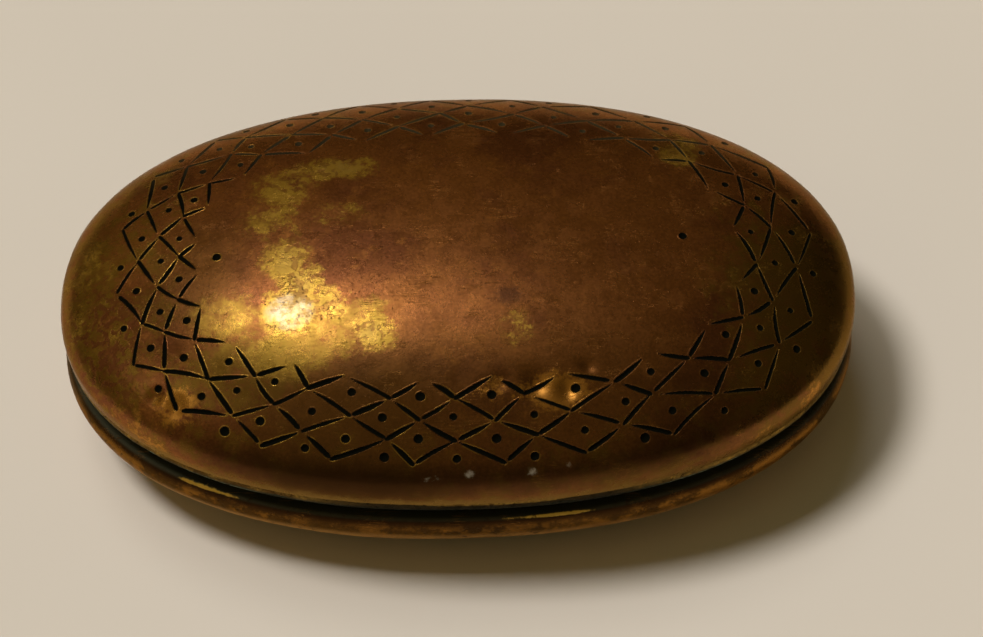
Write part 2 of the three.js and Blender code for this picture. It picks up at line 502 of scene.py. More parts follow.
def lid_mesh():
    """Points, faces, cut distances and outside marks of the lid: engraved band, crown, skirt and inside."""
    steps = int(round((BAND_TO - BAND_FROM) / BAND_ROW_STEP))
    from_edge = np.linspace(BAND_FROM, BAND_TO, steps + 1)
    distances = band_distance(from_edge[None, :], FINE_ANGLES[:, None])
    band_points = dome_points(FINE_ANGLES[:, None], InsetLines(FINE_ANGLES).insets_at(distances))
    field = CutField(band_points)
    engrave(field)

    coarse = FINE_ANGLES[::COLUMN_MERGE]
    band = list(band_points.transpose(1, 0, 2))
    crown = crown_rings(band_points[::COLUMN_MERGE, -1])
    skirt = lid_outer_rings(coarse, distances[::COLUMN_MERGE, 0])
    inside = lid_inner_rings(coarse)
    tips = [np.array([[0, 0, CROWN_Z]]), np.array([[0, 0, CROWN_Z - SHEET]])]

    rows = band + crown + skirt + inside + tips
    starts = np.concatenate([[0], np.cumsum([len(row) for row in rows])]).tolist()
    faces = []
    for row in range(steps):
        faces += quads_between(starts[row], starts[row + 1], FINE_COLUMNS)
    crown_first = steps + 1
    skirt_first = crown_first + len(crown)
    inside_last = skirt_first + len(skirt) + len(inside) - 1
    faces += merge_faces(starts[crown_first], starts[steps])
    faces += merge_faces(starts[skirt_first], starts[0])
    for row in [*range(crown_first, skirt_first - 1), *range(skirt_first, inside_last)]:
        faces += quads_between(starts[row], starts[row + 1], len(coarse))
    faces += fan(starts[-3], starts[skirt_first - 1], len(coarse))
    faces += fan(starts[-2], starts[inside_last], len(coarse))

    points = np.concatenate(rows)
    cuts = np.full(len(points), NO_CUT)
    cuts[: field.field.size] = field.field.T.ravel()
    outside = np.zeros(len(points), bool)
    outside[: starts[skirt_first + len(skirt)]] = True
    outside[starts[-3]] = True
    return points, faces, cuts, outside


def cut_depth(cuts):
    return np.minimum(CUT_DEPTH, CUT_SLOPE * np.maximum(0, -cuts))


def store_values(piece, name, values):
    """Keeps one number for each vertex, which the material reads by this name."""
    layer = piece.data.attributes.new(name, "FLOAT", "POINT")
    layer.data.foreach_set("value", values.astype(np.float32))


def dot_range(vert, x, y):
    """Distance in mm, seen from above, from a place to a vertex of the lid's outside."""
    outside = vert.co.z > (WIDE_Z + 4) * MM and vert.normal.z > 0
    return math.hypot(vert.co.x / MM - x, vert.co.y / MM - y) if outside else math.inf


def punch_lone_dots(piece):
    """Divides the plain crown finely round two places and punches a dot in each."""
    with opened(piece.data) as work:
        cut_layer = work.verts.layers.float["cut"]
        reach = LONE_DOT_GROUND + LONE_DOT_MARGIN
        for x, y in LONE_DOTS:
            near = [e for e in work.edges if max(dot_range(v, x, y) for v in e.verts) < reach]
            bmesh.ops.subdivide_edges(work, edges=near, cuts=LONE_DOT_CUTS, use_grid_fill=True)
            for vert in work.verts:
                away = dot_range(vert, x, y)
                if away < LONE_DOT_GROUND:
                    vert[cut_layer] = away - DOT_RADIUS
                    vert.co.z -= float(cut_depth(np.array(away - DOT_RADIUS))) * MM


def engraved_lid(material):
    points, faces, cuts, outside = lid_mesh()
    sink = np.zeros(len(points))
    sink[outside] = sheet_waves(points[outside]) + dents(points[outside]) + cut_depth(cuts[outside])
    piece = make_piece("engraved_lid", points + inward(points) * sink[:, None], faces)
    store_values(piece, "cut", cuts)
    store_values(piece, "outside", outside)
    punch_lone_dots(piece)
    dress(piece, "lid", "lid_shell", material)


# Hoops and bowls


def rounded_section(outer, inner, low, high, radius, turn_steps=4):
    """A closed section with round corners, as (inset, z) pairs."""
    corners = (
        (outer + radius, low + radius, 180, 270),
        (inner - radius, low + radius, 270, 360),
        (inner - radius, high - radius, 0, 90),
        (outer + radius, high - radius, 90, 180),
    )
    section = []
    for inset, z, start, stop in corners:
        for turn in np.radians(np.linspace(start, stop, turn_steps + 1)):
            section.append((inset + radius * math.cos(turn), z + radius * math.sin(turn)))
    return section


def heights(node):
    low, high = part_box(node)
    return low.z / MM, high.z / MM


def hoop(node, inset, width, corner, columns=PLAIN_COLUMNS):
    """Points and faces of a round-cornered hoop round the box, as high as its node."""
    section = rounded_section(inset, inset + width, *heights(node), corner)
    angles = even_angles(columns)
    points = np.concatenate([inset_ring(angles, ring_inset, z) for ring_inset, z in section])
    return points, loft_faces(len(section), columns)


def plain_hoop(name, node, inset, width, corner, material):
    piece = make_piece(name, *hoop(node, inset, width, corner))
    dress(piece, "base", node, material)


def make_room_for_knuckles(points):
    """Flattens a hoop behind the hinge, as its edge is filed away there."""
    low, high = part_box("base_knuckle_left")[0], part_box("base_knuckle_right")[1]
    behind = (points[:, 0] > low.x / MM - HINGE_GAP) & (points[:, 0] < high.x / MM + HINGE_GAP)
    points[behind, 1] = np.minimum(points[behind, 1], low.y / MM - HINGE_GAP)


def edge_band(material):
    """The rubbed strip along the lid's edge, with a few chips in its lower edge."""
    points, faces = hoop("lid_edge_band", BAND_INSET, BAND_SHEET, BAND_CORNER, PLAIN_COLUMNS * 2)
    make_room_for_knuckles(points)
    lower_edge = heights("lid_edge_band")[0] + BAND_LOWER_EDGE
    for x, reach, depth in BAND_CHIPS:
        chip = np.exp(-(((points[:, 0] - x) / reach) ** 2)) * (points[:, 1] < 0)
        points[:, 2] += depth * chip * (points[:, 2] < lower_edge)
    wear_waves = np.abs(np.sin(points[:, 0] * 1.7) * np.sin(points[:, 0] * 0.61))
    points[:, 2] += BAND_WEAR * wear_waves * (points[:, 2] < lower_edge)
    dress(make_piece("edge_band", points, faces), "lid", "lid_edge_band", material)


def bowl_rings(angles, wall, leans):
    """Rows of the bowl, a wall's thickness inside its outside, at these angles below its widest ring."""
    long, wide = HALF_LONG + BASE_OVERHANG - wall, HALF_WIDE + BASE_OVERHANG - wall
    rings = []
    for lean in leans:
        out, z = math.cos(lean), BASE_WIDE_Z - (BASE_BOWL_DEPTH - wall) * math.sin(lean)
        rings.append(oval_ring(angles, long * out, wide * out, z))
    return rings


def shoulder_rings(angles, wall, turns):
    """Rows of the shoulder that rolls in above the widest ring."""
    span = BASE_OVERHANG + BASE_SHOULDER_INSET
    rings = []
    for turn in turns:
        inset = wall - BASE_OVERHANG + span * (1 - math.cos(turn))
        rings.append(inset_ring(angles, inset, BASE_WIDE_Z + BASE_SHOULDER_RISE * math.sin(turn)))
    return rings


def floor_rings(angles, wall, lean, z):
    """Rows of the flat floor, from the bowl's edge towards the centre."""
    long, wide = ((half + BASE_OVERHANG - wall) * math.cos(lean) for half in (HALF_LONG, HALF_WIDE))
    return [oval_ring(angles, long * s, wide * s, z) for s in np.linspace(1, 0, FLOOR_ROWS)[1:-1]]


def rounded_base(material):
    angles = even_angles(PLAIN_COLUMNS)
    outer_lean = math.asin(BASE_WIDE_Z / BASE_BOWL_DEPTH)
    inner_lean = math.asin((BASE_WIDE_Z - BASE_FLOOR) / (BASE_BOWL_DEPTH - SHEET))
    turns = np.linspace(0, math.pi / 2, SHOULDER_ROWS)[1:]
    outside = floor_rings(angles, 0, outer_lean, 0.0)[::-1]
    outside += bowl_rings(angles, 0, np.linspace(outer_lean, 0, BOWL_ROWS))
    outside += shoulder_rings(angles, 0, turns)
    inside = shoulder_rings(angles, SHEET, turns[::-1])
    inside += bowl_rings(angles, SHEET, np.linspace(0, inner_lean, INNER_BOWL_ROWS))
    inside += floor_rings(angles, SHEET, inner_lean, BASE_FLOOR)
    row_count = len(outside) + len(inside)
    total = row_count * PLAIN_COLUMNS
    faces = loft_faces(row_count, PLAIN_COLUMNS, closed=False)
    faces += fan(total, 0, PLAIN_COLUMNS) + fan(total + 1, total - PLAIN_COLUMNS, PLAIN_COLUMNS)
    points = np.concatenate([*outside, *inside, [[0, 0, 0]], [[0, 0, BASE_FLOOR]]])
    above_foot, below_seam = points[:, 2], BASE_WIDE_Z + BASE_SHOULDER_RISE - points[:, 2]
    fade = np.clip(above_foot / FOOT_WAVES_FADE, 0, 1) * np.clip(below_seam / SEAM_WAVES_FADE, 0, 1)
    dent = waves(points, *BASE_WAVES) * fade
    dent[len(outside) * PLAIN_COLUMNS :] = 0
    points = points - unit(points * [1 / HALF_LONG**2, 1 / HALF_WIDE**2, 0]) * dent[:, None]
    dress(make_piece("rounded_base", points, faces), "base", "base_shell", material)


# Hinge


def turned_piece(name, body, node, profile, material):
    """A closed section of (x, radius) pairs, turned about the line along X through the node's middle."""
    low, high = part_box(node)
    y, z = (low.y + high.y) / 2 / MM, (low.z + high.z) / 2 / MM
    turns = np.linspace(0, 2 * math.pi, TURNED_COLUMNS, endpoint=False)
    ring_y, ring_z = np.cos(turns), np.sin(turns)
    rows = [np.stack([np.full(len(turns), x), y + r * ring_y, z + r * ring_z], axis=1) for x, r in profile]
    faces = loft_faces(len(profile), TURNED_COLUMNS)
    piece = make_piece(name, np.concatenate(rows), faces, TURNED_SHARP_ANGLE)
    with opened(piece.data) as work:
        bmesh.ops.remove_doubles(work, verts=work.verts, dist=1e-7)
    dress(piece, body, node, material)


def knuckle_piece(node, body, material):
    """A short drawn tube with softened ends."""
    low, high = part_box(node)
    left, right, radius = low.x / MM, high.x / MM, (high.z - low.z) / 2 / MM
    soft = KNUCKLE_CORNER
    end = (
        (soft * 4, radius),
        (soft, radius),
        (soft * 0.3, radius - soft * 0.3),
        (0.0, radius - soft),
        (0.0, KNUCKLE_BORE),
    )
    profile = [(right - x, r) for x, r in end] + [(left + x, r) for x, r in end[::-1]]
    turned_piece(f"tube_{node}", body, node, profile, material)


def pin_head_piece(node, material):
    """A low rivet head that closes the end of the pin."""
    low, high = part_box(node)
    inner, outer = (low.x / MM, high.x / MM) if low.x > 0 else (high.x / MM, low.x / MM)
    radius = (high.z - low.z) / 2 / MM
    profile = [(inner, 0.0)]
    for turn in np.linspace(0, math.pi / 2, 8):
        profile.append((inner + (outer - inner) * math.sin(turn), max(radius * math.cos(turn), 0.0)))
    turned_piece(f"rivet_{node}", "base", node, profile, material)


def leaf_piece(node, body, material):
    """A thin strip with soft edges that bends round the back of the box."""
    low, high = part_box(node)
    half = high.x / MM
    corners = rounded_section(low.y / MM, high.y / MM, low.z / MM, high.z / MM, LEAF_CORNER, 3)
    points = []
    for x in np.linspace(-half, half, LEAF_STATIONS):
        drop = HALF_WIDE * (1 - (1 - (abs(x) / HALF_LONG) ** SQUARENESS) ** (1 / SQUARENESS))
        points += [(x, y - drop, z) for y, z in corners]
    count = len(corners)
    faces = loft_faces(LEAF_STATIONS, count, closed=False)
    faces += [tuple(range(count)), tuple(range(len(points) - count, len(points)))]
    dress(make_piece(f"strip_{node}", points, faces), body, node, material)


def hinge(material):
    for node in ("base_knuckle_left", "base_knuckle_centre", "base_knuckle_right"):
        knuckle_piece(node, "base", material)
    for node in ("lid_knuckle_left", "lid_knuckle_right"):
        knuckle_piece(node, "lid", material)
    for node in ("pin_head_left", "pin_head_right"):
        pin_head_piece(node, material)
    leaf_piece("base_hinge_leaf", "base", material)
    leaf_piece("lid_hinge_leaf", "lid", material)
    wear(frame["nodes"]["hinge_pin"], material)


# Colours, written as they look on a screen


def srgb(red, green, blue):
    """A screen colour from 0 to 255 as Blender's linear values."""
    parts = [c / 255 for c in (red, green, blue)]
    linear = [c / 12.92 if c <= 0.04045 else ((c + 0.055) / 1.055) ** 2.4 for c in parts]
    return (*linear, 1.0)


LID_BROWN = srgb(151, 94, 53)
LID_UMBER = srgb(125, 74, 47)
LID_RUSSET = srgb(167, 106, 58)
LID_OLIVE = srgb(134, 102, 42)
LID_DUSK = srgb(96, 68, 34)
# Yellow of rubbed brass, also used for painted glints on the burrs
BRASS_RUB_AND_GLINT = srgb(196, 154, 68)
COPPER_RUB_AND_GLINT = srgb(198, 136, 62)
BRASS_HAZE_AND_SHEEN = srgb(182, 144, 62)
# Black of the grime in the cuts, also painted as shade in the seam's gap
CUT_GRIME_AND_GAP_SHADE = srgb(9, 9, 5)
CUT_DUST = srgb(74, 62, 40)
DARK_STAIN = srgb(78, 50, 40)
LIME_BLOOM = srgb(150, 143, 128)
# Dark brown used as painted shade on the lid's rolled-under rim and the top of the base
RIM_SHADE_BROWN = srgb(52, 33, 16)
BAND_YELLOW = srgb(140, 112, 56)
BAND_BROWN = srgb(82, 60, 30)
BASE_BROWN = srgb(77, 52, 23)
BASE_DARK = srgb(56, 38, 20)
BASE_ORANGE = srgb(136, 92, 36)
# Pale colour of the painted table reflection low on the base
BASE_TABLE_REFLECTION = srgb(214, 164, 96)
# Colour of the painted glints on the base's shoulder
PAINTED_GLINT_BRASS = srgb(236, 190, 92)
TARNISH = srgb(56, 56, 42)
VERDIGRIS = srgb(118, 134, 112)
VERDIGRIS_PALE = srgb(150, 168, 142)
HINGE_BRASS = srgb(168, 128, 70)
HINGE_BROWN = srgb(90, 64, 38)
FLOOR_BEIGE = srgb(203, 192, 178)
EDGE_TINT = (0.78, 0.66, 0.52, 1.0)


# Node helpers


def connect(socket, value):
    """Links a tone to an input, or sets the input to a plain value."""
    if isinstance(value, Tone):
        value.tree.links.new(value.socket, socket)
    else:
        socket.default_value = value


def add_node(tree, kind, inputs=None, **settings):
    node = tree.nodes.new(kind)
    for key, value in settings.items():
        setattr(node, key, value)
    for key, value in (inputs or {}).items():
        connect(node.inputs[key], value)
    return node


class Tone:
    """A number or colour that changes over the surface. Arithmetic with it adds nodes to its tree."""

    def __init__(self, tree, socket):
        self.tree, self.socket = tree, socket

    def node(self, kind, output, inputs, **settings):
        """The tone that a new node in the same tree puts out."""
        return Tone(self.tree, add_node(self.tree, kind, inputs, **settings).outputs[output])

    def calc(self, operation, first, second=0.0):
        return self.node("ShaderNodeMath", 0, {0: first, 1: second}, operation=operation)

    def __add__(self, other):
        return self.calc("ADD", self, other)

    def __sub__(self, other):
        return self.calc("SUBTRACT", self, other)

    def __rsub__(self, other):
        return self.calc("SUBTRACT", other, self)

    def __mul__(self, other):
        return self.calc("MULTIPLY", self, other)

    def __or__(self, other):
        """The larger of the two."""
        return self.calc("MAXIMUM", self, other)

    def __abs__(self):
        return self.calc("ABSOLUTE", self)

    def clamped(self):
        """The same sum, kept between 0 and 1."""
        self.socket.node.use_clamp = True
        return self

    def ramp(self, low, high, to_low=0.0, to_high=1.0):
        """to_low where the tone is at low, to_high where it is at high, and smooth between them."""
        inputs = {"Value": self, "From Min": low, "From Max": high, "To Min": to_low, "To Max": to_high}
        return self.node("ShaderNodeMapRange", "Result", inputs, interpolation_type="SMOOTHSTEP")

    def mix(self, first, second):
        """The first colour where the tone is 0 and the second where it is 1."""
        return self.node("ShaderNodeMix", 2, {0: self, 6: first, 7: second}, data_type="RGBA")

    def shade(self, colour):
        """The colour made lighter or darker by the tone."""
        inputs = {0: 1.0, 6: colour, 7: self}
        return self.node("ShaderNodeMix", 2, inputs, data_type="RGBA", blend_type="MULTIPLY")


class Place(Tone):
    """A place on a piece in mm, or a direction in the room. Patterns are worked out from it."""

    def split(self):
        node = add_node(self.tree, "ShaderNodeSeparateXYZ", {0: self})
        return [Tone(self.tree, output) for output in node.outputs]

    def stretched(self, scale, turn=0.0):
        inputs = {"Vector": self, "Scale": scale, "Rotation": (0, 0, turn)}
        return Place(self.tree, add_node(self.tree, "ShaderNodeMapping", inputs).outputs[0])

    def cloud(self, scale, detail=4.0, roughness=0.55, distortion=0.0):
        inputs = {"Vector": self, "Scale": scale, "Detail": detail}
        inputs |= {"Roughness": roughness, "Distortion": distortion}
        return self.node("ShaderNodeTexNoise", "Fac", inputs)

    def stored(self, name):
        """The number kept by this name for each vertex."""
        return self.node("ShaderNodeAttribute", "Fac", {}, attribute_name=name)

    def effect(self, name, *values):
        """A shared effect at this place, with values for its further inputs in their order."""
        if name not in GROUPS:
            GROUPS[name] = build_group(name)
        node = add_node(self.tree, "ShaderNodeGroup", node_tree=GROUPS[name])
        for socket, value in zip(node.inputs, (self, *values)):
            connect(socket, value)
        return Tone(self.tree, node.outputs[0])

    def patches(self, places):
        """The strongest of some soft patches, each a centre, its reach in mm and its level."""
        return reduce(or_, [self.effect("soft_patch", *patch) for patch in places])


def millimetres(tree):
    """The place on the piece in mm, which moves with the piece."""
    place_node = add_node(tree, "ShaderNodeTexCoord")
    inputs = {0: Tone(tree, place_node.outputs["Object"]), "Scale": 1 / MM}
    return Place(tree, add_node(tree, "ShaderNodeVectorMath", inputs, operation="SCALE").outputs[0])


# Shared effects


def mottled_patina(at, middle, dark, warm, patch_scale, grain):
    """Three tones of patina in drifting patches."""
    darkened = at.cloud(patch_scale, 5.0, 0.6, 0.4).ramp(0.42, 0.62).mix(middle, dark)
    warmed = at.cloud(patch_scale * 6.0, 6.0, 0.7).ramp(0.52, 0.74).mix(darkened, warm)
    grained = at.cloud(3.2, 3.0, 0.6).ramp(0.3, 0.7, 0.72, 1.2).shade(warmed)
    return grain.mix(warmed, grained)


def soft_patch(at, centre, reach, level):
    """1 near a centre, falling slowly to 0 at 1.6 times its reach."""
    offset = at.node("ShaderNodeVectorMath", 0, {0: at, 1: centre}, operation="SUBTRACT")
    scaled = at.node("ShaderNodeVectorMath", 0, {0: offset, 1: reach}, operation="DIVIDE")
    away = at.node("ShaderNodeVectorMath", "Value", {0: scaled}, operation="LENGTH")
    return away.ramp(1.6, 0.3) * level


def ragged(at, share, softness, grain):
    """Turns a soft share into crumbled patches with pits and islands."""
    broad = at.cloud(0.3, 5.0, 0.6) - 0.5
    crumbs = at.cloud(grain * 1.1, 8.0, 0.78) - 0.5
    level = share + (broad * 1.6 + crumbs * 2.2)
    return level.ramp(0.5 - softness, softness + 0.5) * share.ramp(0.04, 0.22)


def specks(at, scale, threshold):
    """Scattered dark specks and pits."""
    grain = at.cloud(scale, 2.0, 0.5, 0.2) + (at.cloud(0.12, 3.0) - 0.5) * 0.5
    return grain.ramp(threshold, threshold + 0.06)


def hairlines(at, amount):
    """Fine scratches that run in two directions."""
    masks = []
    for turn, along in ((0.35, 0.10), (-0.9, 0.14)):
        streak = at.stretched((along, 3.4, 3.4), turn).cloud(1.0, 2.0, 0.5, 0.1)
        masks.append(abs(streak - 0.5).ramp(0.014, 0.004))
    return (masks[0] | masks[1]) * at.cloud(0.3, 2.0).ramp(0.5, 0.66) * amount


# Each effect's function, output and further inputs with their usual values
EFFECTS = {
    "mottled_patina": (
        mottled_patina,
        "Colour",
        {
            "Middle": (0.2, 0.1, 0.05, 1),
            "Dark": (0.1, 0.05, 0.03, 1),
            "Warm": (0.3, 0.15, 0.06, 1),
            "Patch Scale": 0.08,
            "Grain": 0.25,
        },
    ),
    "soft_patch": (soft_patch, "Share", {"Centre": (0, 0, 0), "Reach": (4, 4, 4), "Level": 1.0}),
    "ragged": (ragged, "Mask", {"Share": 0.5, "Softness": 0.06, "Grain": 1.0}),
    "specks": (specks, "Mask", {"Scale": 1.0, "Threshold": 0.68}),
    "hairlines": (hairlines, "Mask", {"Amount": 0.5}),
}
GROUPS = {}


def build_group(name):
    """A shared effect's node group, with its named inputs and its one output."""
    make, result, inputs = EFFECTS[name]
    group = bpy.data.node_groups.new(name, "ShaderNodeTree")
    kinds = {1: "NodeSocketFloat", 3: "NodeSocketVector", 4: "NodeSocketColor"}
    for key, value in {"Place": (0, 0, 0), **inputs}.items():
        kind = kinds[len(value) if isinstance(value, tuple) else 1]
        group.interface.new_socket(name=key, in_out="INPUT", socket_type=kind).default_value = value
    kind = kinds[4 if result == "Colour" else 1]
    group.interface.new_socket(name=result, in_out="OUTPUT", socket_type=kind)
    given = group.nodes.new("NodeGroupInput").outputs
    leave = group.nodes.new("NodeGroupOutput").inputs
    tones = [Tone(group, given[key]) for key in inputs]
    connect(leave[result], make(Place(group, given["Place"]), *tones))
    return group


def new_material(name):
    """A material, its shader and the place in mm."""
    material = bpy.data.materials.new(name)
    material.use_nodes = True
    shader = material.node_tree.nodes["Principled BSDF"]
    shader.inputs["Specular Tint"].default_value = EDGE_TINT
    return material, shader, millimetres(material.node_tree)


def feed(shader, values):
    for key, value in values.items():
        connect(shader.inputs[key], value)


def relief(shader, height, depth):
    """Fine bumps, as deep as this in mm."""
    inputs = {"Height": height, "Distance": depth * MM, "Strength": 1.0}
    connect(shader.inputs["Normal"], height.node("ShaderNodeBump", 0, inputs))


# Places on the metal: centre, reach in mm and level

BRASS_PATCHES = (
    ((-12.5, 11.6, 22.9), (4.2, 2.0, 9), 0.76),
    ((-18.4, 9.0, 22.7), (3.4, 2.9, 9), 0.62),
    ((-12.5, 4.6, 23.7), (3.4, 1.6, 9), 0.46),
    ((-20.0, 4.4, 22.9), (3.6, 2.6, 9), 0.52),
    ((-18.1, -1.2, 23.3), (2.6, 2.8, 9), 0.74),
    ((-16.6, -4.2, 23.3), (2.6, 2.4, 9), 0.7),
    ((-17.8, -7.8, 22.9), (3.2, 2.8, 9), 1.1),
    ((-24.2, -8.2, 22.1), (3.0, 2.2, 9), 0.4),
    ((-13.6, -7.4, 23.4), (2.6, 2.4, 9), 0.62),
    ((-9.2, -11.0, 23.2), (2.6, 2.6, 9), 0.68),
    ((6.0, -10.9, 23.3), (1.8, 2.0, 9), 0.44),
    ((24.6, 15.0, 20.7), (2.6, 3.0, 9), 0.56),
    ((-39.0, -3.0, 18.7), (3.6, 12.0, 9), 0.24),
)
# Wider places round the highlight where the patina is thinned to a yellow haze, partly a painted sheen
HAZE_AND_SHEEN_PATCHES = (
    ((-24.4, -8.2, 22.0), (3.6, 3.2, 9), 0.7),
    ((-17.6, -12.6, 22.2), (5.5, 2.6, 9), 0.85),
    ((-12.6, -9.8, 23.0), (6.0, 3.6, 9), 0.7),
)
# Copper-coloured scuffs, partly painted glints where small dents and the lower rim catch the light
COPPER_AND_GLINT_PATCHES = (
    ((-30.2, -16.9, 18.6), (3.0, 2.0, 9), 0.62),
    ((9.6, -17.9, 21.6), (4.4, 2.0, 9), 0.85),
    ((3.4, -17.6, 21.8), (2.2, 1.6, 9), 0.45),
    ((36.9, -14.6, 15.4), (1.6, 2.6, 1.6), 0.5),
    ((-33.0, -16.0, 15.6), (6.0, 5.0, 2.0), 0.34),
    ((31.0, -19.6, 15.4), (5.0, 3.0, 1.4), 0.24),
)
LIME_SPOTS = (
    ((0.8, -25.4, 17.4), (0.7, 0.5, 0.6), 0.9),
    ((7.2, -25.2, 17.3), (0.6, 0.4, 0.6), 0.55),
    ((11.2, -24.6, 17.5), (0.5, 0.4, 0.6), 0.5),
    ((-3.0, -25.6, 17.0), (1.2, 0.4, 0.5), 0.55),
)
OLIVE_PLACES = (((-23.0, -14.5, 20.5), (9.0, 4.5, 9), 0.7),)
# Painted shade on the lid: left of the highlight and at the right end
LID_SHADE_PLACES = (
    ((-27.5, -2.5, 21.0), (5.0, 8.0, 9), 0.5),
    ((35.0, -5.0, 18.0), (7.0, 9.0, 9), 0.45),
)
# Painted shade on the lid's rim: low along the front and at the right end
RIM_SHADE_PLACES = (
    ((-11.0, -25.5, 15.6), (10.0, 4.0, 2.4), 0.6),
    ((42.0, 5.0, 15.6), (6.0, 12.0, 6.0), 0.5),
)
STAINS = (((5.2, -7.0, 24.0), (1.7, 1.1, 9), 0.9),)
CRUSTY_PLACES = (((-38.0, -9.0, 16.5), (6.0, 9.0, 9), 0.9),)
# Painted glints: where the top of the base's shoulder is painted bright, as if catching light through the
# seam
SHOULDER_PAINTED_GLINTS = (
    ((11.0, -25.5, 9.64), (6.0, 0.6, 0.13), 1.1),
    ((-27.6, -21.1, 9.64), (3.6, 2.2, 0.13), 0.95),
)


# Finishes


def lid_tones(at, x, y, z, haze_and_sheen):
    """Brown patina that turns olive at the left and low down, with painted shade in places and haze round
    the rubbed patches, which is partly a painted sheen.
    """
    colour = at.effect("mottled_patina", LID_BROWN, LID_UMBER, LID_RUSSET, 0.07, 0.8)
    low_and_left = z.ramp(WIDE_Z + 7.5, WIDE_Z + 2.0, 0.0, 0.4) | x.ramp(-22.0, -40.0, 0.0, 0.6)
    right = x.ramp(22.0, 36.0, 0.0, 0.8) * y.ramp(12.0, 0.0)
    olive = at.effect("ragged", low_and_left | right | at.patches(OLIVE_PLACES), 0.3, 0.6)
    colour = (olive * 0.85).mix(colour, LID_OLIVE)
    # Painted shade: the front slope left of middle, and the places above, darkened
    front_shade = y.ramp(-6.0, -18.0) * x.ramp(-30.0, -16.0) * x.ramp(2.0, -8.0, 0.6, 1.0) * 0.7
    colour = (front_shade | at.patches(LID_SHADE_PLACES)).mix(colour, LID_DUSK)
    # Yellow haze, partly thinned patina and partly a painted sheen round the highlight
    return (at.effect("ragged", haze_and_sheen, 0.35, 0.8) * 0.6).mix(colour, BRASS_HAZE_AND_SHEEN)


def rim_tones(at, x, y, z, colour):
    """Dark brown where the lid rolls under, partly patina and partly painted shade, and a pale line above
    the band, partly rubbed and partly a painted reflection of the table.
    """
    height = z + (at.cloud(0.4, 7.0, 0.75) - 0.5) * 3.0
    # Painted shade, partly dark patina: the rolled-under shoulder darkened, least at the ends
    shoulder = height.ramp(WIDE_Z + 4.5, WIDE_Z + 2.0) * height.ramp(WIDE_Z - 1.0, WIDE_Z + 1.3, 0.25, 1.0)
    shoulder = shoulder * x.ramp(-35.0, -22.0, 0.1, 0.78) * x.ramp(34.0, 20.0, 0.1, 0.86)
    colour = shoulder.mix(colour, RIM_SHADE_BROWN)
    # Painted shade on the rim, low at the front and at the right end
    colour = at.patches(RIM_SHADE_PLACES).mix(colour, RIM_SHADE_BROWN)
    # Partly rubbed and partly a painted reflection of the table: a pale line above the band, strongest
    # along the front
    rub = height.ramp(WIDE_Z - 0.3, WIDE_Z - 1.6) * y.ramp(2.0, -12.0, 0.2, 1.0) * 0.66
    return rub.mix(colour, BAND_YELLOW), shoulder


